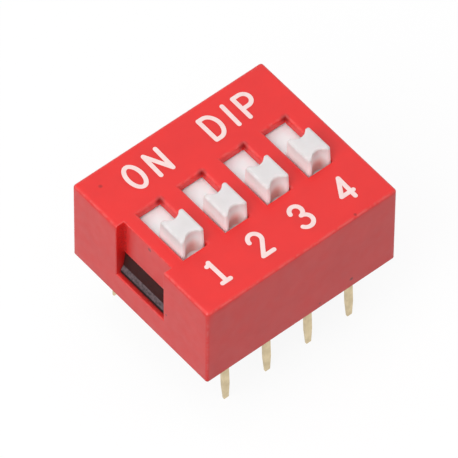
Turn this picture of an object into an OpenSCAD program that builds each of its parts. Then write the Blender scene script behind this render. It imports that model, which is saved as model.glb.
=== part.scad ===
// Slide switch for a circuit board, with four poles side by side. A moulded cover snaps over
// a base that holds eight blade terminals. Each pole has an actuator that slides under the
// cover and carries a bridging wiper over the two contact pads of its pole.
// X runs along the row of poles, +Y points to the closed end of the travel, and z = 0 is the
// underside of the cover's walls, which sits on the board. Every size is in millimetres.

/* [Grid] */
// Distance between neighbouring poles
pitch = 2.54; // [2.1:0.01:4]
// Distance between the two rows of terminals
row_gap = 7.62; // [6.3:0.01:12]

/* [Cover] */
// Height of the cover above the board
body_h = 5.25; // [4.3:0.01:8]
// From a row of terminals out to the face of the cover, or more where the stops need it
side_margin = 1.14; // [0.9:0.01:2]
// Thickness of the two long walls
side_wall = 0.7; // [0.4:0.01:0.8]
// Thickness of the two end walls
end_wall = 0.95; // [0.8:0.01:2]
// Thickness of the top
top_wall = 0.5; // [0.3:0.01:0.8]
// Radius of the outer edges
cover_edge = 0.14; // [0.05:0.01:0.4]
// Width of each window in the top
window_w = 1.42; // [1.15:0.01:1.7]
// Length of each window in the top
window_l = 3.46; // [2.8:0.01:4.2]
// Width of the recess in the first end wall, and of the latch window in both
recess_w = 3.44; // [2.5:0.01:5]
// Depth of the recess in the first end wall
recess_d = 0.48; // [0.2:0.01:0.6]

/* [Actuators] */
// Length of the knob at the top of the cover
knob_l = 1.74; // [1.4:0.01:2.1]
// How much shorter the knob is at its top, front and back each
knob_draft = 0.07; // [0:0.01:0.15]
// Height of the knob above the top of the cover
knob_rise = 1; // [0.5:0.01:1.6]
// Depth of the finger scoops in the front and the back of the knob
scoop_d = 0.25; // [0.1:0.01:0.3]
// Width of the land left at each side of a scoop
scoop_land = 0.24; // [0.1:0.01:0.3]
// Radius of the knob's edges
knob_edge = 0.1; // [0.04:0.01:0.2]
// How far the plate runs under the cover at each side of its window
plate_lap_x = 0.25; // [0.15:0.01:0.3]
// How far the plate still runs under the cover at the ends of its travel
plate_lap_y = 0.15; // [0.08:0.01:0.3]
// Thickness of the plate
plate_t = 0.55; // [0.3:0.01:0.8]
// Height of the carrier below the plate
carrier_h = 0.8; // [0.5:0.01:1]
// Length of the carrier
carrier_l = 3.2; // [2.6:0.01:3.9]
// Thickness of the carrier's walls round the wiper
carrier_wall = 0.2; // [0.12:0.01:0.3]
// How far the first actuator stands in from the open end of its travel
first_in = 0.09; // [0:0.01:0.3]

/* [Wipers] */
// Thickness of the wiper's strip
strip_t = 0.1; // [0.06:0.01:0.14]
// Width of the wiper's strip
strip_w = 0.9; // [0.5:0.01:1.2]
// Length of the flat crown that bears on the carrier
crown_l = 0.7; // [0.3:0.01:1]
// Length of each flat foot that bears on a pad
foot_l = 0.2; // [0.1:0.01:0.3]
// How far each turned-up toe runs out past its foot
toe_l = 0.12; // [0.05:0.01:0.2]

/* [Terminals] */
// Width of a terminal's leg
leg_w = 0.39; // [0.3:0.01:0.7]
// Thickness of the terminal's sheet metal
leg_t = 0.2; // [0.12:0.01:0.3]
// How far a leg reaches below the cover
leg_drop = 3.84; // [2.5:0.01:5]
// How far the tip of a leg stands out past its row
leg_splay = 0.19; // [0:0.01:0.4]
// How far the tip of the last leg is bent out along its row
last_bend = 0.16; // [0:0.01:0.4]
// Width of a leg at its tip
tip_w = 0.29; // [0.15:0.01:0.3]
// Thickness of a leg at its tip
tip_t = 0.12; // [0.06:0.01:0.2]
// Length of the taper at the tip
tip_l = 1; // [0.2:0.01:1.4]
// Width of the contact pad on top of the base
pad_w = 0.9; // [0.6:0.01:1.3]
// Radius inside the bend between leg and pad
bend_r = 0.12; // [0.05:0.01:0.3]
// How far a pad runs past the contact point that rests on it
pad_lap = 0.15; // [0.05:0.01:0.25]
// Open distance from a contact point to the far pad while the pole is open
open_gap = 0.35; // [0.2:0.01:0.5]

/* [Base] */
// Least thickness of the stops past the ends of the plates' travel
stop_w = 0.3; // [0.2:0.01:0.6]
// How far the base stays above the underside of the cover
base_inset = 0.1; // [0:0.01:0.3]
// From the floor of the base down to the top of the latch
latch_drop = 0.29; // [0.1:0.01:0.6]
// Height of the latch's steep face
face_h = 0.9; // [0.5:0.01:1.2]
// How far the steep face leans out from its top to its foot
face_lean = 0.13; // [0:0.01:0.3]
// Height of the latch's ramp, below the steep face
ramp_h = 0.25; // [0.1:0.01:0.5]
// How far the ramp reaches out
ramp_d = 0.17; // [0.05:0.01:0.4]
// Height of the blunt nose below the ramp
nose_h = 0.19; // [0.1:0.01:0.4]
// How far the nose stands out of the recess floor
nose_out = 0.24; // [0.1:0.01:0.35]

/* [Fits] */
// Gap at each side of a knob in its window
knob_side_gap = 0.03; // [0.02:0.01:0.08]
// Gap between a knob and the end of its window, where the travel stops
knob_end_gap = 0.05; // [0.02:0.01:0.1]
// Gap at each side of a plate in its channel
slide_gap = 0.05; // [0.03:0.01:0.1]
// Gap between a plate and the underside of the cover's top
lift_gap = 0.04; // [0.02:0.01:0.08]
// Gap between a plate and the stops past the ends of its travel
stop_gap = 0.05; // [0.03:0.01:0.1]
// Gap between a carrier and the floor of the base
floor_gap = 0.14; // [0.08:0.01:0.2]
// Gap between the base and the walls of the cover
base_fit = 0.03; // [0.02:0.01:0.06]
// Gap round a terminal in its slot
terminal_fit = 0.01; // [0.005:0.005:0.03]
// Gap between a wiper and what it bears on
contact_gap = 0.02; // [0.01:0.01:0.04]
// Gap round a latch in its window
latch_fit = 0.03; // [0.02:0.01:0.1]

/* [Hidden] */
$fn = 48;
ways = 4;
past = 1;                                     // how far a cutter runs past what it cuts

knob_w = window_w - 2 * knob_side_gap;
travel = window_l - knob_l - 2 * knob_end_gap;
plate_w = window_w + 2 * plate_lap_x;
plate_l = window_l + travel + 2 * plate_lap_y;
last_x = (ways - 1) / 2 * pitch;              // middle of the outermost pole
cavity_x = last_x + plate_w / 2 + slide_gap;
stop_y = (plate_l + travel) / 2 + stop_gap;
cavity_y = max(row_gap / 2 + side_margin - side_wall, stop_y + stop_w + base_fit);
body_l = 2 * (cavity_x + end_wall);
body_w = 2 * (cavity_y + side_wall);

cavity_z = body_h - top_wall;
plate_z = cavity_z - lift_gap - plate_t;      // underside of the plates
carrier_z = plate_z - carrier_h;              // underside of the carriers
floor_z = carrier_z - floor_gap;              // top of the base's floor and of the pads
pocket_w = plate_w - 2 * carrier_wall;
pocket_l = carrier_l - 2 * carrier_wall;
reach = pocket_l - foot_l - 2 * (toe_l + strip_t / 2 + contact_gap);    // between the contact points

base_x = cavity_x - base_fit;
base_y = cavity_y - base_fit;
rib_w = pitch - plate_w - 2 * slide_gap;
latch_z = floor_z - latch_drop;               // top of the latch
nose_z = latch_z - face_h - ramp_h - nose_h;  // catch face of the latch
nose_d = base_fit + end_wall - recess_d + nose_out;    // from the end of the base to the nose
sill_z = nose_z - latch_fit;
latch_w = recess_w - 2 * latch_fit;

row_y = row_gap / 2;
near_pad = reach / 2 - travel / 2 - pad_lap;  // from the middle back to the end of the near pads
far_pad = reach / 2 - travel / 2 + open_gap;  // from the middle on to the end of the far pads

function pole_x(i) = (i - (ways + 1) / 2) * pitch;

// Terminals are numbered round the part: out along the open side and back along the other
function terminal_pole(n) = n <= ways ? n : 2 * ways + 1 - n;
function terminal_side(n) = n <= ways ? -1 : 1;

// Puts a shape at the open end of its pole's travel
module at_slider(i) {
    translate([pole_x(i), (i == 1 ? first_in : 0) - travel / 2, 0]) children();
}

// Outline of a strip of thickness t that follows a path of points
function unit(v) = v / norm(v);
function left_of(v) = [-v[1], v[0]];
function heading(p, i) = unit(p[min(i + 1, len(p) - 1)] - p[min(i, len(p) - 2)]);
function miter(p, i) =
    let (a = left_of(heading(p, max(i - 1, 0))), b = left_of(heading(p, i)), n = unit(a + b))
    n / (n * a);
function strip(p, t) = concat(
    [for (i = [0 : len(p) - 1]) p[i] + miter(p, i) * t / 2],
    [for (i = [len(p) - 1 : -1 : 0]) p[i] - miter(p, i) * t / 2]);

// A flat shape drawn in Y and Z, made w wide about x = 0
module along_x(w) {
    rotate([90, 0, 90]) linear_extrude(w, center = true) children();
}

// A flat shape drawn in X and Z, made l long about y = 0
module along_y(l) {
    rotate([90, 0, 0]) linear_extrude(l, center = true) children();
}

// A box that stands on z = 0 about the Z axis
module block(l, w, h) {
    translate([-l / 2, -w / 2, 0]) cube([l, w, h]);
}

// A flat rectangle about the origin with round corners
module round_plan(l, w, r) {
    square([l - 2 * r, w], center = true);
    square([l, w - 2 * r], center = true);
    for (x = [-1, 1], y = [-1, 1])
        translate([x * (l / 2 - r), y * (w / 2 - r)]) circle(r);
}

// An upright rectangle from 0 to h with its two top corners round
module round_top(w, h, r) {
    translate([-w / 2, 0]) square([w, h - r]);
    translate([r - w / 2, 0]) square([w - 2 * r, h]);
    for (x = [-1, 1])
        translate([x * (w / 2 - r), h - r]) circle(r);
}

// The same with sides that lean in: wide at the foot, and narrow at the top before rounding
module round_taper(foot, top, h, r) {
    lean = atan((foot - top) / (2 * h));
    corner = top / 2 - r * (1 - sin(lean)) / cos(lean);
    out = corner + r * cos(lean);
    out_z = h - r + r * sin(lean);
    polygon([[-foot / 2, 0], [foot / 2, 0], [out, out_z], [corner, h],
             [-corner, h], [-out, out_z]]);
    for (x = [-1, 1])
        translate([x * corner, h - r]) circle(r);
}

// A block with round upright edges and round top edges
module soft_block(l, w, h, r) {
    intersection() {
        linear_extrude(h) round_plan(l, w, r);
        along_x(l + past) round_top(w, h, r);
        along_y(w + past) round_top(l, h, r);
    }
}

// The cover: one open recess, at the first pole's end, and a latch window in each end wall
module cover() {
    recess_h = body_h - sill_z;
    color("#e8262a") difference() {
        soft_block(body_l, body_w, body_h, cover_edge);
        translate([0, 0, -past]) block(2 * cavity_x, 2 * cavity_y, cavity_z + past);
        for (i = [1 : ways])
            translate([pole_x(i), 0, cavity_z - past / 2])
                block(window_w, window_l, top_wall + past);
        translate([recess_d - body_l / 2 - past / 2, 0, sill_z])
            block(past, recess_w, recess_h + past);
        for (end = [-1, 1])
            translate([end * (body_l / 2 - end_wall / 2), 0, sill_z])
                block(end_wall + past / 4, recess_w, latch_z + latch_fit - sill_z);
    }
}

// The latch on one end of the base: a steep face, a ramp, a nose, and a flat catch below
module latch() {
    root = past / 4;                          // runs into the base so that the two are one
    foot_d = nose_d - ramp_d;
    along_y(latch_w)
        polygon([[-root, latch_z], [foot_d - face_lean, latch_z], [foot_d, latch_z - face_h],
                 [nose_d, nose_z + nose_h], [nose_d, nose_z], [-root, nose_z]]);
}

module base() {
    color("#1b1b1d") difference() {
        union() {
            translate([0, 0, base_inset])
                block(2 * base_x, 2 * base_y, floor_z - base_inset);
            for (side = [-1, 1])
                translate([0, side * (base_y + stop_y) / 2, base_inset])
                    block(2 * base_x, base_y - stop_y, cavity_z - base_fit - base_inset);
            for (i = [1 : ways - 1])
                translate([pole_x(i) + pitch / 2, 0, base_inset])
                    block(rib_w, 2 * base_y, cavity_z - base_fit - base_inset);
            for (end = [0, 1])
                mirror([end, 0, 0]) translate([base_x, 0, 0]) latch();
        }
        for (n = [1 : 2 * ways]) at_terminal(n) terminal_slot(terminal_side(n));
    }
}

// A knob stands on its plate: soft edges, a little draft, and a scoop in front and in back
module knob() {
    knob_h = body_h + knob_rise - plate_z;
    draft = knob_draft * knob_h / knob_rise;  // over the whole height, at each face
    top_l = knob_l - 2 * knob_draft;
    half_chord = knob_w / 2 - scoop_land;
    scoop_r = (half_chord * half_chord + scoop_d * scoop_d) / (2 * scoop_d);
    difference() {
        intersection() {
            linear_extrude(knob_h) round_plan(knob_w, knob_l, knob_edge);
            along_x(knob_w + past) round_taper(top_l + 2 * draft, top_l, knob_h, knob_edge);
            along_y(knob_l + past) round_top(knob_w, knob_h, knob_edge);
        }
        for (side = [-1, 1])
            translate([0, side * (top_l / 2 - scoop_d + scoop_r), -past])
                cylinder(h = knob_h + 2 * past, r = scoop_r);
    }
}

module actuator(i) {
    color("#f2f2ee") at_slider(i) difference() {
        union() {
            translate([0, 0, plate_z]) knob();
            translate([0, 0, plate_z]) block(plate_w, plate_l, plate_t);
            translate([0, 0, carrier_z]) block(plate_w, carrier_l, carrier_h);
        }
        translate([0, 0, carrier_z - past]) block(pocket_w, pocket_l, carrier_h + past);
    }
}

// The wiper is a bowed strip: its crown bears on the carrier, and its feet on the pads
module wiper(i) {
    foot_z = floor_z + contact_gap + strip_t / 2;
    crown_z = plate_z - contact_gap - strip_t / 2;
    heel = (reach - foot_l) / 2;
    right = [[crown_l / 2, crown_z], [heel, foot_z], [heel + foot_l, foot_z],
             [heel + foot_l + toe_l, foot_z + toe_l]];
    left = [for (k = [len(right) - 1 : -1 : 0]) [-right[k][0], right[k][1]]];
    color("#c9a25a") at_slider(i)
        along_x(strip_w) polygon(strip(concat(left, right), strip_t));
}

// Puts a shape at its terminal; inside it, +Y points from the row in to the middle
module at_terminal(n) {
    turn = terminal_side(n) > 0 ? 1 : 0;
    translate([pole_x(terminal_pole(n)), 0, 0])
        mirror([0, turn, 0]) translate([0, -row_y, 0]) children();
}

function pad_end(side) = row_y - (side > 0 ? far_pad : near_pad);

// The room for a terminal in the base: a slot for its leg and a groove for its pad
module terminal_slot(side) {
    outer = leg_t / 2 + terminal_fit;
    inner = pad_end(side) + terminal_fit;
    bend = leg_t + bend_r + terminal_fit;     // depth of the room for the bend
    translate([0, 0, base_inset - past])
        block(leg_w + 2 * terminal_fit, 2 * outer, floor_z - base_inset + past);
    translate([-pad_w / 2 - terminal_fit, -outer, floor_z - leg_t - terminal_fit])
        cube([pad_w + 2 * terminal_fit, inner + outer, leg_t + terminal_fit]);
    translate([-pad_w / 2 - terminal_fit, -outer, floor_z - bend])
        cube([pad_w + 2 * terminal_fit, outer + leg_t / 2 + bend_r + terminal_fit, bend]);
}

// Outline of a leg from its top down: straight in the base, then leaning out to its tip
function leg(width, tip, top_z, tip_out) =
    let (taper_out = tip_out * (1 - tip_l / leg_drop))
    [[-width / 2, top_z], [-width / 2, 0], [taper_out - width / 2, tip_l - leg_drop],
     [tip_out - tip / 2, -leg_drop], [tip_out + tip / 2, -leg_drop],
     [taper_out + width / 2, tip_l - leg_drop], [width / 2, 0], [width / 2, top_z]];

module terminal(n) {
    side = terminal_side(n);
    bend_z = floor_z - leg_t - bend_r;        // where the leg ends and the bend starts
    tip_x = n == 2 * ways ? -last_bend : 0;
    color("#cdbb8e") at_terminal(n) {
        intersection() {
            along_y(2 * past)
                polygon(leg(leg_w, tip_w, bend_z, tip_x));
            along_x(2 * past)
                polygon(leg(leg_t, tip_t, bend_z, -leg_splay));
        }
        along_x(pad_w) translate([leg_t / 2 + bend_r, bend_z]) {
            intersection() {
                difference() {
                    circle(leg_t + bend_r);
                    circle(bend_r);
                }
                translate([-leg_t - bend_r, 0]) square(leg_t + bend_r);
            }
            translate([0, bend_r]) square([pad_end(side) - leg_t / 2 - bend_r, leg_t]);
        }
    }
}

cover();
base();
actuator(1);  // actuator_1
actuator(2);  // actuator_2
actuator(3);  // actuator_3
actuator(4);  // actuator_4
wiper(1);  // wiper_1
wiper(2);  // wiper_2
wiper(3);  // wiper_3
wiper(4);  // wiper_4
terminal(1);  // terminal_1
terminal(2);  // terminal_2
terminal(3);  // terminal_3
terminal(4);  // terminal_4
terminal(5);  // terminal_5
terminal(6);  // terminal_6
terminal(7);  // terminal_7
terminal(8);  // terminal_8
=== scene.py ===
import bpy
import bmesh
import math
from mathutils import Matrix, Vector


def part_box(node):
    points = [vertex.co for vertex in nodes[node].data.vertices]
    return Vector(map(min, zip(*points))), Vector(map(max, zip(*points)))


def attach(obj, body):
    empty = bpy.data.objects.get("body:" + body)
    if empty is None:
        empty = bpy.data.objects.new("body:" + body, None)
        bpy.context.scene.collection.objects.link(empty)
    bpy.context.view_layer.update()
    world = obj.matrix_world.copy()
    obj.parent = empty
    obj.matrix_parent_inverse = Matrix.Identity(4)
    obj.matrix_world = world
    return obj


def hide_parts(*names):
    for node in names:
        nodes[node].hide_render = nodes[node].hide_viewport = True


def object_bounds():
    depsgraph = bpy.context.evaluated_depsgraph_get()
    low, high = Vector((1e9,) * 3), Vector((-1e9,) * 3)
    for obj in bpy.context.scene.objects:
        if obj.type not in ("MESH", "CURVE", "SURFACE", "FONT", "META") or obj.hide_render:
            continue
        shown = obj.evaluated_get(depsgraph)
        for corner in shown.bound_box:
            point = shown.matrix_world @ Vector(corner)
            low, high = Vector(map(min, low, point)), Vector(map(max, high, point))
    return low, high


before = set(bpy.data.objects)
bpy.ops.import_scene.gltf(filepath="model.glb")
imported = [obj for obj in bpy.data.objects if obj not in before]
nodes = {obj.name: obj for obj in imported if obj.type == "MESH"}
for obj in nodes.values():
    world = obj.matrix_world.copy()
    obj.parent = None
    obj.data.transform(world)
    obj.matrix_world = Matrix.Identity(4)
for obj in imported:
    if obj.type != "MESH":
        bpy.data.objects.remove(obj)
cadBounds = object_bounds()
mm = 0.001
sharpBend = 40      # degrees; edges that bend less are shaded smooth
scene = bpy.context.scene
scene.view_settings.view_transform = "Standard"
print("frame loaded,", len(nodes), "parts")


def spread(start, end, count):
    return [start + (end - start) * i / (count - 1) for i in range(count)]


def boxOf(node):      # lowest and highest corner of a part, in millimetres
    low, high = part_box(node)
    return low / mm, high / mm


def pieceFrom(name, mesh, material):
    mesh.materials.append(material)
    piece = bpy.data.objects.new(name, mesh)
    scene.collection.objects.link(piece)
    return piece


def meshFrom(name, points, faces):      # points come in millimetres
    mesh = bpy.data.meshes.new(name)
    mesh.from_pydata([Vector(p) * mm for p in points], [], faces)
    return mesh


def splitShading(mesh):      # smooth everywhere but over sharp edges
    work = bmesh.new()
    work.from_mesh(mesh)
    for face in work.faces:
        face.smooth = True
    for edge in work.edges:
        bends = len(edge.link_faces) == 2
        edge.smooth = bends and edge.calc_face_angle(0) < math.radians(sharpBend)
    work.to_mesh(mesh)
    work.free()


def flattenFaces(piece):      # keeps broad faces flat beside small rounded edges
    weighted = piece.modifiers.new("flatFaces", "WEIGHTED_NORMAL")
    weighted.keep_sharp = True
    weighted.weight = 90


# Wear, dirt and painted light and shade that the plastics share; sizes in millimetres, ranges are
# where a change fades
noiseRange = (0.3, 0.7)
wearAndPaintedLight = {
    "reach": 0.25,              # a normal tilted by this share counts as fully on an edge
    "patch": 0.25,
    "patchRange": (0.35, 0.6),
    "patchLeast": 0.2,          # edge wear and painted edge shading that is left between two patches
    "speckAndShadeCore": 0.35,          # share of a speck's radius at full strength, also for painted corner shade
    "darkPatchRange": (0.7, 1.3),   # shares of a dark patch's size
    "mottle": 0.07,
    "mottleRange": (0.42, 0.6),
    "bandBlur": 0.02,
    "bandPatch": 0.15,
}


# Nodes that every material here is put together from
def noise(tree, where, size, detail=3):      # size of one blotch, in millimetres
    node = tree.nodes.new("ShaderNodeTexNoise")
    tree.links.new(where, node.inputs["Vector"])
    node.inputs["Scale"].default_value = 1 / (size * mm)
    node.inputs["Detail"].default_value = detail
    return node.outputs["Fac"]


def remap(tree, source, fromLow, fromHigh, toLow, toHigh):
    node = tree.nodes.new("ShaderNodeMapRange")
    tree.links.new(source, node.inputs["Value"])
    for slot, number in zip(("From Min", "From Max", "To Min", "To Max"),
                            (fromLow, fromHigh, toLow, toHigh)):
        node.inputs[slot].default_value = number
    return node.outputs["Result"]


def times(tree, a, b):
    node = tree.nodes.new("ShaderNodeMath")
    node.operation = "MULTIPLY"
    for slot, part in ((0, a), (1, b)):
        if isinstance(part, (int, float)):
            node.inputs[slot].default_value = part
        else:
            tree.links.new(part, node.inputs[slot])
    return node.outputs[0]


def blendColours(tree, amount, under, over):
    node = tree.nodes.new("ShaderNodeMix")
    node.data_type = "RGBA"
    tree.links.new(amount, node.inputs["Factor"])
    for slot, part in ((6, under), (7, over)):
        if isinstance(part, tuple):
            node.inputs[slot].default_value = (*part, 1)
        else:
            tree.links.new(part, node.inputs[slot])
    return node.outputs[2]


def grain(tree, height, depth):      # depth in millimetres
    node = tree.nodes.new("ShaderNodeBump")
    node.inputs["Distance"].default_value = depth * mm
    tree.links.new(height, node.inputs["Height"])
    return node.outputs["Normal"]


def vectorMath(tree, operation, first, second=None):
    node = tree.nodes.new("ShaderNodeVectorMath")
    node.operation = operation
    tree.links.new(first, node.inputs[0])
    if second is not None:
        node.inputs[1].default_value = second
    return node


def heightOf(tree, where):
    node = tree.nodes.new("ShaderNodeSeparateXYZ")
    tree.links.new(where, node.inputs[0])
    return node.outputs["Z"]


def startMaterial(name):
    material = bpy.data.materials.new(name)
    material.use_nodes = True
    tree = material.node_tree
    where = tree.nodes.new("ShaderNodeTexCoord").outputs["Object"]
    return material, tree, tree.nodes["Principled BSDF"], where


def attribute(tree, name):
    node = tree.nodes.new("ShaderNodeAttribute")
    node.attribute_name = name
    return node.outputs["Fac"]


def addMarks(tree, where, colour, look):      # specks and painted corner shade, dark patches and a painted shadow, painted bounce light and painted bands of reflection, where a look has them
    # specks; the window-corner ones are painted shade
    for place, radius, strength in look.get("specksAndShade", []):
        away = vectorMath(tree, "DISTANCE", where, Vector(place) * mm).outputs["Value"]
        radius *= mm
        spot = remap(tree, away, radius * wearAndPaintedLight["speckAndShadeCore"], radius, strength, 0)
        colour = blendColours(tree, spot, colour, look["speckAndShadeColour"])
    # dark patches; the one on the latch window sill is a painted shadow
    for place, size, strength, mottled in look.get("darkPatches", []):
        local = vectorMath(tree, "SUBTRACT", where, Vector(place) * mm).outputs["Vector"]
        scaled = vectorMath(tree, "DIVIDE", local, Vector(size) * mm).outputs["Vector"]
        away = vectorMath(tree, "LENGTH", scaled).outputs["Value"]
        inside = remap(tree, away, *wearAndPaintedLight["darkPatchRange"], strength, 0)
        mottle = noise(tree, where, wearAndPaintedLight["mottle"])
        mottle = remap(tree, mottle, *wearAndPaintedLight["mottleRange"], 1 - mottled, 1)
        colour = blendColours(tree, times(tree, inside, mottle), colour, look["darkPatchColour"])
    # painted red bounce light and shade, where a look has it
    if "tint" in look:
        bleed = times(tree, attribute(tree, "tint"), look["tintShare"])
        colour = blendColours(tree, bleed, colour, look["tint"])
    blur = wearAndPaintedLight["bandBlur"]
    # bands by height; on the latch they are painted reflection and highlight
    for low, high, bandColour, patchiness in look.get("bands", []):
        z = heightOf(tree, where)
        above = remap(tree, z, (low - blur) * mm, (low + blur) * mm, 0, 1)
        below = remap(tree, z, (high - blur) * mm, (high + blur) * mm, 1, 0)
        patchy = noise(tree, where, wearAndPaintedLight["bandPatch"])
        patchy = remap(tree, patchy, *wearAndPaintedLight["patchRange"], 1 - patchiness, 1)
        band = times(tree, times(tree, above, below), patchy)
        colour = blendColours(tree, band, colour, bandColour)
    return colour


# Moulded plastic: cloudy colour, fine matt grain, a painted lighter lower part, edges with rubbed
# wear and painted edge light and shade, and the marks of its look
def mouldedPlastic(look):
    material, tree, shader, where = startMaterial(look["name"])
    cloud = remap(tree, noise(tree, where, look["cloud"]), *noiseRange, 0, 1)
    colour = blendColours(tree, cloud, look["shade"], look["colour"])
    # painted light: a lighter colour lower down, where less light falls
    if "paintedLowerLight" in look:
        low, high = (z * mm for z in look["paintedLowerLightHeight"])
        paintedLowerLight = remap(tree, heightOf(tree, where), low, high, 1, 0)
        colour = blendColours(tree, paintedLowerLight, colour, look["paintedLowerLight"])
    # edge colour: rubbed wear, with a painted highlight on the cover's edges and painted shade on
    # the knobs' edges
    if "edgeWearAndShadingShare" in look:
        patchy = noise(tree, where, wearAndPaintedLight["patch"])
        patchy = remap(tree, patchy, *wearAndPaintedLight["patchRange"], wearAndPaintedLight["patchLeast"], 1)
        edgeWearAndShading = times(tree, times(tree, attribute(tree, "edge"), patchy), look["edgeWearAndShadingShare"])
        colour = blendColours(tree, edgeWearAndShading, colour, look["edgeWearAndShading"])
    colour = addMarks(tree, where, colour, look)
    tree.links.new(colour, shader.inputs["Base Color"])
    matt = noise(tree, where, look["cloud"] / 3)
    roughness = remap(tree, matt, *noiseRange, *look["roughness"])
    tree.links.new(roughness, shader.inputs["Roughness"])
    fine = noise(tree, where, look["grain"], 2)
    tree.links.new(grain(tree, fine, look["grainDepth"]), shader.inputs["Normal"])
    shader.inputs["IOR"].default_value = look["ior"]
    if "glow" in look:
        shader.inputs["Subsurface Weight"].default_value = look["glow"]
        shader.inputs["Subsurface Scale"].default_value = look["glowDepth"] * mm
        shader.inputs["Subsurface Radius"].default_value = look["glowColour"]
    return material


# Cover: a red moulding with a window for each knob, and a recess at the first end
cover = {
    "outerRadius": 0.17,
    "windowRadius": 0.16,
    "windowFrontRadius": 0.07,
    "rimRadius": 0.06,          # recess and latch windows
    "footRadius": 0.05,
    "segments": 4,
    "windowWidth": 1.42,
    "windowLength": 3.46,
    "pitch": 2.54,
    "endWall": 0.95,
    "sideWall": 0.7,
    "topWall": 0.5,
    "recessDepth": 0.48,
    "sill": 1.56,
    "latchWindowTop": 2.96,
}
coverLook = {
    "name": "redPlastic",
    "colour": (0.79, 0.014, 0.012),
    "shade": (0.735, 0.012, 0.011),
    # paler edges: partly rubbed wear, partly a painted highlight on the outer and window edges
    "edgeWearAndShading": (0.74, 0.15, 0.14),
    "edgeWearAndShadingShare": 0.55,
    "cloud": 1.6,
    "roughness": (0.34, 0.42),
    "grain": 0.09,
    "grainDepth": 0.0012,
    "ior": 1.56,
    "glow": 0.4,
    "glowDepth": 0.4,
    "glowColour": (1.0, 0.15, 0.12),
    "speckAndShadeColour": (0.24, 0.002, 0.003),
    "specksAndShade": [                 # place, radius and strength
        ((-4.81, 4.03, 5.25), 0.13, 0.6),
        ((3.30, -4.80, 5.24), 0.10, 0.7),
        ((-5.29, -0.156, 5.007), 0.15, 0.85),
        ((-5.77, -1.95, 2.20), 0.09, 0.8),
        ((3.05, -4.95, 0.60), 0.13, 1.0),
        ((1.12, -4.95, 0.33), 0.09, 0.6),
        # painted shade: darker red in the far corner of each knob window
        ((-3.16, 1.66, 5.10), 0.31, 0.75),
        ((-0.62, 1.66, 5.10), 0.31, 0.75),
        ((1.92, 1.66, 5.10), 0.31, 0.75),
        ((4.46, 1.66, 5.10), 0.31, 0.75),
    ],
    "darkPatchColour": (0.12, 0.001, 0.002),
    "darkPatches": [                 # place, size, strength and how mottled
        ((-5.42, 1.62, 3.9), (0.30, 0.13, 1.6), 0.5, 1.0),      # mottled, darker red on the far side wall of the recess
        ((-5.22, 0.0, 1.56), (0.42, 2.9, 0.16), 0.9, 0.3),       # painted shadow on the sill of the latch window, next to the base
    ],
}


def cellSolid(name, xs, ys, zs, isSolid):
    # fills the cells of an uneven grid and keeps the faces between full and empty ones
    sizes = (len(xs) - 1, len(ys) - 1, len(zs) - 1)
    middles = [[(line[i] + line[i + 1]) / 2 for i in range(len(line) - 1)] for line in (xs, ys, zs)]
    full = {(i, j, k)
            for i in range(sizes[0]) for j in range(sizes[1]) for k in range(sizes[2])
            if isSolid(middles[0][i], middles[1][j], middles[2][k])}
    sides = (
        ((1, 0, 0), ((1, 0, 0), (1, 1, 0), (1, 1, 1), (1, 0, 1))),
        ((-1, 0, 0), ((0, 0, 0), (0, 0, 1), (0, 1, 1), (0, 1, 0))),
        ((0, 1, 0), ((0, 1, 0), (0, 1, 1), (1, 1, 1), (1, 1, 0))),
        ((0, -1, 0), ((0, 0, 0), (1, 0, 0), (1, 0, 1), (0, 0, 1))),
        ((0, 0, 1), ((0, 0, 1), (1, 0, 1), (1, 1, 1), (0, 1, 1))),
        ((0, 0, -1), ((0, 0, 0), (0, 1, 0), (1, 1, 0), (1, 0, 0))),
    )
    corners, points, faces = {}, [], []
    for cell in sorted(full):
        for step, ring in sides:
            if tuple(c + s for c, s in zip(cell, step)) in full:
                continue
            face = []
            for offset in ring:
                key = tuple(c + o for c, o in zip(cell, offset))
                if key not in corners:
                    corners[key] = len(points)
                    points.append((xs[key[0]], ys[key[1]], zs[key[2]]))
                face.append(corners[key])
            faces.append(face)
    return meshFrom(name, points, faces)


def weighEdges(mesh, radiusOf, largest):
    # gives each edge that bends outwards the share of the largest radius that it should have
    leastBend = 0.1
    work = bmesh.new()
    work.from_mesh(mesh)
    weights = work.edges.layers.float.new("bevel_weight_edge")
    for edge in work.edges:
        if len(edge.link_faces) == 2 and edge.calc_face_angle_signed(0) > leastBend:
            middle = (edge.verts[0].co + edge.verts[1].co) / 2 / mm
            edge[weights] = radiusOf(middle) / largest
    work.to_mesh(mesh)
    work.free()


def roundEdges(piece, radius, segments):
    bevel = piece.modifiers.new("roundEdges", "BEVEL")
    bevel.limit_method = "WEIGHT"
    bevel.width = radius * mm
    bevel.segments = segments
    bevel.use_clamp_overlap = False
    shaped = piece.evaluated_get(bpy.context.evaluated_depsgraph_get())
    mesh = bpy.data.meshes.new_from_object(shaped)
    piece.modifiers.clear()
    piece.data = mesh
    splitShading(mesh)
    flattenFaces(piece)


def markEdges(mesh):
    # how far each point is from lying on a flat side, for the edges that are partly rubbed and
    # partly given a painted highlight
    facing = [Vector() for _ in mesh.vertices]
    for face in mesh.polygons:
        for index in face.vertices:
            facing[index] += face.normal * face.area
    edge = mesh.attributes.new("edge", "FLOAT", "POINT")
    for index, normal in enumerate(facing):
        flat = max(abs(c) for c in normal.normalized())
        edge.data[index].value = min(1, max(0, (1 - flat) / wearAndPaintedLight["reach"]))


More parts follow.
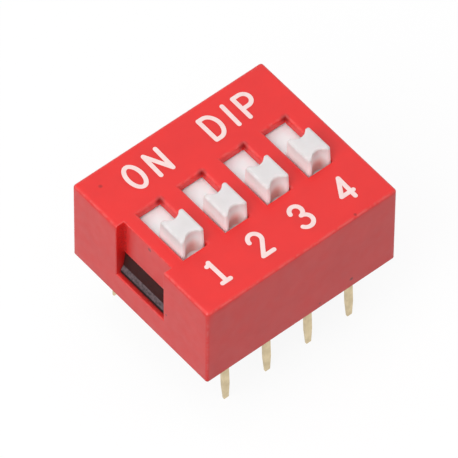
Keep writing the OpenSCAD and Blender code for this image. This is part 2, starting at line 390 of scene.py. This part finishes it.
def buildCover():
    low, high = boxOf("cover")
    wallX = high.x - cover["endWall"]
    wallY = high.y - cover["sideWall"]
    floorX = high.x - cover["recessDepth"]
    halfW = cover["windowWidth"] / 2
    halfL = cover["windowLength"] / 2
    ceiling = high.z - cover["topWall"]
    near = 0.01     # as close as this counts as on a face
    poles = [(i - 1.5) * cover["pitch"] for i in range(4)]
    xs = sorted([low.x, -floorX, -wallX, wallX, high.x]
                + [p + s for p in poles for s in (-halfW, halfW)])
    ys = [low.y, -wallY, -halfL, halfL, wallY, high.y]
    zs = [low.z, cover["sill"], cover["latchWindowTop"], ceiling, high.z]

    def isSolid(x, y, z):
        if abs(x) < wallX and abs(y) < wallY and z < ceiling:
            return False
        if abs(y) < halfL and z > ceiling and any(abs(x - p) < halfW for p in poles):
            return False
        if abs(y) < halfL and x < -floorX and z > cover["sill"]:
            return False
        inWindow = cover["sill"] < z < cover["latchWindowTop"]
        return not (abs(y) < halfL and abs(x) > wallX and inWindow)

    def radiusOf(middle):
        onX = abs(abs(middle.x) - high.x) < near
        onY = abs(abs(middle.y) - high.y) < near
        onTop = abs(middle.z - high.z) < near
        if (onX or onY) and onTop or onX and onY:
            return cover["outerRadius"]
        if middle.z < near:
            return cover["footRadius"]
        if abs(middle.z - ceiling) < near:
            return 0
        if onTop and middle.x > -floorX + near:
            return cover["windowFrontRadius" if middle.y < near - halfL else "windowRadius"]
        return cover["rimRadius"]

    mesh = cellSolid("coverMoulding", xs, ys, zs, isSolid)
    largest = max(cover["outerRadius"], cover["windowRadius"])
    weighEdges(mesh, radiusOf, largest)
    piece = pieceFrom("coverMoulding", mesh, mouldedPlastic(coverLook))
    roundEdges(piece, largest, cover["segments"])
    markEdges(piece.data)
    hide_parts("cover")
    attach(piece, "housing")
    print("cover built,", len(piece.data.polygons), "faces")


# Actuators: a knob with finger scoops, on a plate, on a carrier with an open pocket below
knob = {
    "width": 1.36,
    "length": 1.74,             # at the top of the cover
    "draft": 0.07,              # shorter by this at the top, front and back each
    "rise": 1.0,
    "corner": 0.10,
    "topEdge": 0.13,
    "scoopDepth": 0.25,
    "scoopLand": 0.24,
    "ridge": 0.09,              # softness of the lips beside a scoop
    "plateThickness": 0.55,
    "plateTop": 4.71,
    "rimHeight": 5.25,
    "carrierLength": 3.2,
    "carrierFoot": 3.36,
    "carrierWall": 0.2,
    "plateCorner": 0.1,
    "plateEdge": 0.04,
    "pocketCorner": 0.06,
    "pocketEdge": 0.03,
    "seam": 0.03,               # the knob widens by this where it meets the plate
    "ringStart": 0.1,           # first even ring above the plate
    "sideRings": 8,
    "sideWearAndShade": 0.3,
    "topWearAndShade": 0.2,
    "topInset": 0.06,
    "paintedBounceHeight": 0.45,
    "paintedBounceSpread": 0.1,         # past the scoop's half width
    "paintedBounceGain": 1.6,
    "sideSteps": 12,
    "endSteps": 32,
    "cornerSteps": 6,
}
knobLook = {
    "name": "whitePlastic",
    "colour": (0.74, 0.715, 0.715),
    "shade": (0.705, 0.675, 0.67),
    # greyer edges: partly handling wear, partly painted shade that dims the highlight on the top
    # edge
    "edgeWearAndShading": (0.60, 0.57, 0.56),
    "edgeWearAndShadingShare": 0.8,
    "cloud": 0.7,
    "roughness": (0.4, 0.5),
    "grain": 0.12,
    "grainDepth": 0.002,
    "ior": 1.49,
    "paintedLowerLight": (0.86, 0.975, 0.97),       # painted light: lighter and less pink below the top, where the sides and plate get less light and more red bounce
    "paintedLowerLightHeight": (5.55, 6.15),
    "glow": 1.0,                # share of light that travels inside
    "glowDepth": 0.45,
    "glowColour": (0.85, 1.0, 0.97),
    "tint": (0.86, 0.26, 0.19),         # painted red bounce light and shade at the foot of a scoop
    "tintShare": 0.65,
}


def ring(halfW, halfL, corner, z):      # a rectangle with round corners, always in equal steps
    points = [(halfW, y) for y in spread(corner - halfL, halfL - corner, knob["sideSteps"])]
    ends = [(x, halfL) for x in spread(halfW - corner, corner - halfW, knob["endSteps"])]
    turns = spread(0, math.pi / 2, knob["cornerSteps"] + 2)[1:-1]
    points += [(halfW + corner * (math.cos(a) - 1), halfL + corner * (math.sin(a) - 1))
               for a in turns]
    points += ends
    points += [(-halfW - corner * (math.sin(a) - 1), halfL + corner * (math.cos(a) - 1))
               for a in turns]
    points += [(-x, -y) for x, y in points]
    return [(x, y, z) for x, y in points]


def knobRing(z, top, inset=0.0):      # with both scoops cut in; inset shrinks it for the top edge
    topL = knob["length"] / 2 - knob["draft"]
    slope = knob["draft"] / knob["rise"]
    halfL = topL + slope * (top - min(z, top - knob["topEdge"]))
    halfW = knob["width"] / 2
    chord = halfW - knob["scoopLand"]
    depth = knob["scoopDepth"]
    radius = (chord ** 2 + depth ** 2) / (2 * depth)
    points = []
    for x, y, z in ring(halfW, halfL, knob["corner"], z):
        scoop = topL - depth + radius - math.sqrt(max(0, radius ** 2 - x ** 2))
        past = abs(y) - scoop
        cut = (past + math.hypot(past, knob["ridge"])) / 2 - knob["ridge"] / 8
        y = math.copysign(abs(y) - max(0, cut) * (abs(y) > halfL / 2), y)
        points.append((x * (1 - inset / halfW), y * (1 - inset / halfL), z))
    return points


def tintAt(x, z):      # share of painted red bounce light and shade, strongest in the middle of a scoop, at the rim of the window
    reach = knob["width"] / 2 - knob["scoopLand"] + knob["paintedBounceSpread"]
    across = max(0, 1 - abs(x) / reach)
    above = z - knob["rimHeight"]
    down = min(1, max(0, 1 - above / knob["paintedBounceHeight"])) if z > knob["plateTop"] else 0
    return min(1, knob["paintedBounceGain"] * across) * down


def loft(name, rings, marks, tints):
    # joins rings of equal length and closes both ends; marks give each ring's share of edge
    # wear and painted edge shade, tints give each point's share of painted red bounce light and
    # shade
    count = len(rings[0])
    points = [p for r in rings for p in r]
    faces = []
    for level in range(len(rings) - 1):
        for i in range(count):
            a, b = level * count + i, level * count + (i + 1) % count
            faces.append((a, b, b + count, a + count))
    faces.append(tuple(reversed(range(count))))
    faces.append(tuple(range(len(points) - count, len(points))))
    mesh = meshFrom(name, points, faces)
    edge = mesh.attributes.new("edge", "FLOAT", "POINT")
    for level, mark in enumerate(marks):
        for i in range(count):
            edge.data[level * count + i].value = mark
    tint = mesh.attributes.new("tint", "FLOAT", "POINT")
    for index, value in enumerate(tints):
        tint.data[index].value = value
    return mesh


def edgeRings(halfW, halfL, z, rise):
    # three rings round the edge of a block, going out to its side and then up or down
    soft = knob["plateEdge"]
    rings = []
    for turn in (0, 45, 90):
        a = math.radians(turn)
        inward = soft * (1 - math.sin(a))
        level = z + rise * soft * (1 - math.cos(a))
        rings.append(ring(halfW - inward, halfL - inward, knob["plateCorner"] - inward, level))
    return rings


def buildActuator(number, material):
    low, high = boxOf(f"actuator_{number}")
    middle = (low + high) / 2
    plateW, plateL = (high.x - low.x) / 2, (high.y - low.y) / 2
    plateTop = knob["plateTop"]
    plateFoot = plateTop - knob["plateThickness"]
    carrierL = knob["carrierLength"] / 2
    foot = knob["carrierFoot"]
    wall = knob["carrierWall"]
    top = high.z
    pocketW, pocketL = plateW - wall, carrierL - wall
    corner, flare = knob["pocketCorner"], knob["pocketEdge"]
    rings = [ring(pocketW, pocketL, corner, plateFoot)]
    rings += [ring(pocketW, pocketL, corner, foot + flare)]
    rings += [ring(pocketW + flare, pocketL + flare, corner + flare, foot)]
    rings += edgeRings(plateW, carrierL, foot, 1)
    rings += [ring(plateW, carrierL, knob["plateCorner"], plateFoot)]
    rings += edgeRings(plateW, plateL, plateFoot, 1)
    rings += list(reversed(edgeRings(plateW, plateL, plateTop, -1)))
    marks = [0] * len(rings)
    seam = knob["seam"]
    start, end = plateTop + knob["ringStart"], top - knob["topEdge"]
    sides = [knobRing(plateTop, top, -seam), knobRing(plateTop + seam, top)]
    sides += [knobRing(z, top) for z in spread(start, end, knob["sideRings"])]
    rings += sides
    marks += [0] * (len(sides) - 1) + [knob["sideWearAndShade"]]
    for turn in (15, 30, 45, 60, 75, 90):
        a = math.radians(turn)
        inset = knob["topEdge"] * (1 - math.cos(a))
        rings.append(knobRing(top - knob["topEdge"] * (1 - math.sin(a)), top, inset))
        marks.append(1 if turn < 90 else knob["topWearAndShade"])
    rings.append(knobRing(top, top, knob["topEdge"] + knob["topInset"]))
    marks.append(0)
    tints = [tintAt(x, z) for r in rings for x, y, z in r]
    rings = [[(x + middle.x, y + middle.y, z) for x, y, z in r] for r in rings]
    mesh = loft(f"actuatorMoulding{number}", rings, marks, tints)
    splitShading(mesh)
    piece = pieceFrom(mesh.name, mesh, material)
    flattenFaces(piece)
    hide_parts(f"actuator_{number}")
    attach(piece, f"slider_{number}")


# Legend: white ink strokes on the top of the cover
legend = {
    "width": 0.228,
    "height": 0.012,            # ink stands this far above the cover
    "sink": 0.02,
    "step": 0.002,              # each further stroke of a sign lies this much higher
    "merge": 0.0005,
    "capSteps": 8,
    "bendSteps": 10,
    "softTurn": 20,             # degrees; a smaller turn needs no round joint
}
legendLook = {
    "name": "whiteInk",
    "colour": (0.90, 0.71, 0.68),
    "shade": (0.86, 0.63, 0.60),
    "cloud": 0.35,
    "roughness": (0.45, 0.6),
    "grain": 0.06,
    "grainDepth": 0.003,
    "ior": 1.45,
}


def arc(x, y, halfW, halfH, start, end, count=20):      # degrees, anticlockwise from +X
    turns = [math.radians(a) for a in spread(start, end, count)]
    return [(x + halfW * math.cos(a), y + halfH * math.sin(a)) for a in turns]


def strokeRows(path, width, closed):
    # pairs of points on the two sides of a stroke, with round joints and round ends
    half = width / 2
    path = [Vector(p) for p in path]
    count = len(path)
    rows = []
    for i, point in enumerate(path):
        before = path[i - 1] if i or closed else None
        after = path[(i + 1) % count] if i < count - 1 or closed else None
        into = (point - before).normalized() if before else (after - point).normalized()
        out = (after - point).normalized() if after else into
        leftIn, leftOut = Vector((-into.y, into.x)), Vector((-out.y, out.x))
        if not before or not after:
            side = leftOut * half
            cap = [math.radians(a) for a in spread(0, 90, legend["capSteps"])]
            back = -1 if not before else 1
            ends = [(point + out * back * half * math.sin(a) + side * math.cos(a),
                     point + out * back * half * math.sin(a) - side * math.cos(a)) for a in cap]
            rows += ends if before else reversed(ends)
            continue
        turn = math.atan2(into.cross(out), into.dot(out))
        miter = (leftIn + leftOut).normalized()
        inner = half / math.cos(turn / 2)
        if abs(turn) < math.radians(legend["softTurn"]):
            rows.append((point + miter * inner, point - miter * inner))
            continue
        for share in spread(0, 1, legend["bendSteps"]):
            swing = leftIn.to_3d()
            swing.rotate(Matrix.Rotation(turn * share, 3, "Z"))
            swing = swing.to_2d() * half
            if turn > 0:
                rows.append((point + miter * inner, point - swing))
            else:
                rows.append((point + swing, point - miter * inner))
    return rows


def strokes(name, paths, material):
    top = boxOf("cover")[1].z
    work = bmesh.new()
    for order, (path, closed) in enumerate(paths):
        height = top + legend["height"] + order * legend["step"]
        rows = strokeRows(path, legend["width"], closed)
        made = [[work.verts.new(Vector((*side, height)) * mm) for side in row] for row in rows]
        pairs = list(zip(made, made[1:] + made[:1])) if closed else list(zip(made, made[1:]))
        sheet = [work.faces.new((a[0], a[1], b[1], b[0])) for a, b in pairs]
        points = [v for row in made for v in row]
        bmesh.ops.remove_doubles(work, verts=points, dist=legend["merge"] * mm)
        sheet = [f for f in sheet if f.is_valid]
        lifted = bmesh.ops.extrude_face_region(work, geom=sheet, use_keep_orig=True)
        for part in lifted["geom"]:
            if isinstance(part, bmesh.types.BMVert):
                part.co.z = (top - legend["sink"]) * mm
    bmesh.ops.recalc_face_normals(work, faces=work.faces)
    # extruding orders points and faces differently in each run, so both are sorted
    corners = sorted(tuple(v.co) for v in work.verts)
    rank = {corner: i for i, corner in enumerate(corners)}
    faces = sorted([rank[tuple(v.co)] for v in face.verts] for face in work.faces)
    work.free()
    mesh = bpy.data.meshes.new(name)
    mesh.from_pydata(corners, [], faces)
    splitShading(mesh)
    piece = pieceFrom(name, mesh, material)
    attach(piece, "housing")


def buildLegend():
    ink = mouldedPlastic(legendLook)
    letterO = [(arc(-3.215, 3.43, 0.385, 0.69, 0, 350, 36), True)]
    letterN = [([(-2.21, 2.73), (-2.17, 4.10), (-1.48, 2.73), (-1.44, 4.10)], False)]
    strokes("legendOn", letterO + letterN, ink)
    bowl = arc(1.40, 3.375, 0.49, 0.695, 90, -90, 24)
    letterD = [([(1.14, 2.68), (1.14, 4.07)] + bowl, True)]
    letterI = [([(2.545, 2.72), (2.585, 4.05)], False)]
    loop = arc(3.59, 3.69, 0.38, 0.38, 90, -90, 20)
    letterP = [([(3.23, 2.72), (3.24, 4.07)] + loop, False), ([(3.59, 3.31), (3.24, 3.31)], False)]
    strokes("legendType", letterD + letterI + letterP, ink)
    one = [([(-3.80, -2.62), (-3.78, -3.95)], False),
           (arc(-4.02, -2.54, 0.24, 0.22, -85, -20, 8), False),
           ([(-4.03, -3.95), (-3.55, -3.95)], False)]
    strokes("legendOne", one, ink)
    head = arc(-1.26, -2.96, 0.33, 0.36, 180, -32, 22)
    two = [(head + [(-1.56, -3.96), (-0.93, -3.96)], False)]
    strokes("legendTwo", two, ink)
    upper = arc(1.26, -2.93, 0.31, 0.33, 175, -85, 22)
    lower = arc(1.28, -3.62, 0.37, 0.37, 85, -150, 26)
    strokes("legendThree", [(upper[:-1], False), (lower, False)], ink)
    four = [([(4.05, -2.68), (3.47, -3.63), (4.18, -3.63)], False),
            ([(4.05, -2.68), (4.02, -3.97)], False)]
    strokes("legendFour", four, ink)
    print("legend printed")


# Base: black plastic seen as a latch in each end recess, and from below
baseLook = {
    "name": "blackPlastic",
    "colour": (0.020, 0.016, 0.016),
    "shade": (0.013, 0.010, 0.010),
    "bands": [                  # painted light on the latch: red reflection on its steep face, grey highlight on its ramp
        (2.03, 3.2, (0.045, 0.010, 0.009), 0.3),
        (1.79, 2.03, (0.15, 0.11, 0.12), 0.6),
    ],
    "cloud": 0.6,
    "roughness": (0.55, 0.65),
    "grain": 0.1,
    "grainDepth": 0.003,
    "ior": 1.2,
}
soften = {
    "base": 0.02,
    "terminal": 0.012,
    "wiper": 0.01,
    "segments": 2,
    "weld": 0.0002,
    "leastAngle": 35,           # degrees
}

# Metal: plated brass with streaks along its length and cloudy tarnish
metal = {
    "stretch": 0.15,            # of the streaks' noise along the length
    "tarnish": 0.5,
    "tarnishRange": (0.35, 0.65),
}
legLook = {
    "name": "platedBrass",
    "colour": (0.74, 0.61, 0.39),
    "shade": (0.61, 0.495, 0.305),
    "roughness": (0.3, 0.45),
    "streak": 0.12,
    "streakDepth": 0.002,
}
wiperLook = {
    "name": "springBrass",
    "colour": (0.72, 0.52, 0.20),
    "shade": (0.55, 0.36, 0.12),
    "roughness": (0.2, 0.35),
    "streak": 0.08,
    "streakDepth": 0.001,
}


def stampedMetal(look):
    material, tree, shader, where = startMaterial(look["name"])
    stretch = tree.nodes.new("ShaderNodeMapping")
    stretch.inputs["Scale"].default_value = (1, 1, metal["stretch"])
    tree.links.new(where, stretch.inputs["Vector"])
    streaks = noise(tree, stretch.outputs["Vector"], look["streak"])
    tarnish = remap(tree, noise(tree, where, metal["tarnish"]), *metal["tarnishRange"], 0, 1)
    colour = blendColours(tree, tarnish, look["shade"], look["colour"])
    tree.links.new(colour, shader.inputs["Base Color"])
    roughness = remap(tree, streaks, *noiseRange, *look["roughness"])
    tree.links.new(roughness, shader.inputs["Roughness"])
    tree.links.new(grain(tree, streaks, look["streakDepth"]), shader.inputs["Normal"])
    shader.inputs["Metallic"].default_value = 1
    return material


def finishNode(name, material, width):
    node = nodes[name]
    node.data.materials.clear()
    node.data.materials.append(material)
    weld = node.modifiers.new("weld", "WELD")
    weld.merge_threshold = soften["weld"] * mm
    bevel = node.modifiers.new("softEdges", "BEVEL")
    bevel.width = width * mm
    bevel.segments = soften["segments"]
    bevel.limit_method = "ANGLE"
    bevel.angle_limit = math.radians(soften["leastAngle"])
    bevel.harden_normals = True


def finishNodes():
    black = mouldedPlastic(baseLook)
    brass = stampedMetal(legLook)
    spring = stampedMetal(wiperLook)
    finishNode("base", black, soften["base"])
    for number in range(1, 9):
        finishNode(f"terminal_{number}", brass, soften["terminal"])
    for number in range(1, 5):
        finishNode(f"wiper_{number}", spring, soften["wiper"])
    print("base, terminals and wipers finished")


# Floor, light and camera
studio = {
    "floorSize": 500,
    "floorColour": (0.20, 0.20, 0.20),
    "whiteShare": 0.9,         # of the floor, as seen; the rest shows the shadow
    "skyColour": (0.64, 0.64, 0.65),
    "lamps": {                  # place, width and power of each
        "overhead": ((-25, 17, 158), 70, 0.031),
        "side": ((-99, -27, 110), 110, 0.114),
    },
}
view = {
    "azimuth": -40.292,
    "elevation": 52.887,
    "roll": 0.608,
    "distance": 400,
    "target": (0, 0, 2.7),
    "across": -0.254,
    "up": -0.418,
    "lens": 669.79,
    "sensor": 36,
    "clip": (0.01, 10),         # metres
}


def seenDirectly(tree):      # 1 for rays that show the background itself
    path = tree.nodes.new("ShaderNodeLightPath")
    total = path.outputs["Is Camera Ray"]
    for name in ("Is Glossy Ray", "Is Transmission Ray"):
        node = tree.nodes.new("ShaderNodeMath")
        node.operation = "MAXIMUM"
        tree.links.new(total, node.inputs[0])
        tree.links.new(path.outputs[name], node.inputs[1])
        total = node.outputs[0]
    return total


def buildStudio():
    size = studio["floorSize"] / 2
    height = cadBounds[0].z / mm
    corners = [(x * size, y * size, height) for x, y in ((-1, -1), (1, -1), (1, 1), (-1, 1))]
    paper = bpy.data.materials.new("paper")
    paper.use_nodes = True
    tree = paper.node_tree
    tree.nodes.remove(tree.nodes["Principled BSDF"])
    plain = tree.nodes.new("ShaderNodeBsdfDiffuse")
    seen = seenDirectly(tree)
    paint = blendColours(tree, seen, studio["floorColour"], (1.0, 1.0, 1.0))
    tree.links.new(paint, plain.inputs["Color"])
    white = tree.nodes.new("ShaderNodeEmission")
    mixed = tree.nodes.new("ShaderNodeMixShader")
    tree.links.new(times(tree, seen, studio["whiteShare"]), mixed.inputs[0])
    tree.links.new(plain.outputs[0], mixed.inputs[1])
    tree.links.new(white.outputs[0], mixed.inputs[2])
    tree.links.new(mixed.outputs[0], tree.nodes["Material Output"].inputs["Surface"])
    pieceFrom("floor", meshFrom("floor", corners, [(0, 1, 2, 3)]), paper)

    world = bpy.data.worlds.new("sky")
    scene.world = world
    world.use_nodes = True
    tree = world.node_tree
    soft = tree.nodes["Background"]
    soft.inputs["Color"].default_value = (*studio["skyColour"], 1)
    bright = tree.nodes.new("ShaderNodeBackground")
    bright.inputs["Color"].default_value = (1, 1, 1, 1)
    mixed = tree.nodes.new("ShaderNodeMixShader")
    tree.links.new(seenDirectly(tree), mixed.inputs[0])
    tree.links.new(soft.outputs[0], mixed.inputs[1])
    tree.links.new(bright.outputs[0], mixed.inputs[2])
    tree.links.new(mixed.outputs[0], tree.nodes["World Output"].inputs["Surface"])

    for name, (place, size, power) in studio["lamps"].items():
        lamp = bpy.data.lights.new(name, "AREA")
        lamp.shape = "DISK"
        lamp.size = size * mm
        lamp.energy = power
        holder = bpy.data.objects.new(name, lamp)
        scene.collection.objects.link(holder)
        holder.location = Vector(place) * mm
        holder.rotation_euler = holder.location.to_track_quat("Z", "Y").to_euler()
    print("studio lit")


def placeCamera():
    a, e, r = (math.radians(view[name]) for name in ("azimuth", "elevation", "roll"))
    back = Vector((math.sin(a) * math.cos(e), -math.cos(a) * math.cos(e), math.sin(e)))
    level = Vector((math.cos(a), math.sin(a), 0))
    right = level * math.cos(r) + back.cross(level) * math.sin(r)
    up = back.cross(right)
    place = Vector(view["target"]) + back * view["distance"]
    place = place + right * view["across"] + up * view["up"]
    lens = bpy.data.cameras.new("camera")
    lens.sensor_width = view["sensor"]
    lens.lens = view["lens"]
    lens.clip_start, lens.clip_end = view["clip"]
    camera = bpy.data.objects.new("camera", lens)
    camera.matrix_world = Matrix((right, up, back)).transposed().to_4x4()
    camera.location = place * mm
    scene.collection.objects.link(camera)
    scene.camera = camera
    print("camera placed")


placeCamera()
buildStudio()
buildCover()
knobMaterial = mouldedPlastic(knobLook)
for number in range(1, 5):
    buildActuator(number, knobMaterial)
print("actuators built")
buildLegend()
finishNodes()
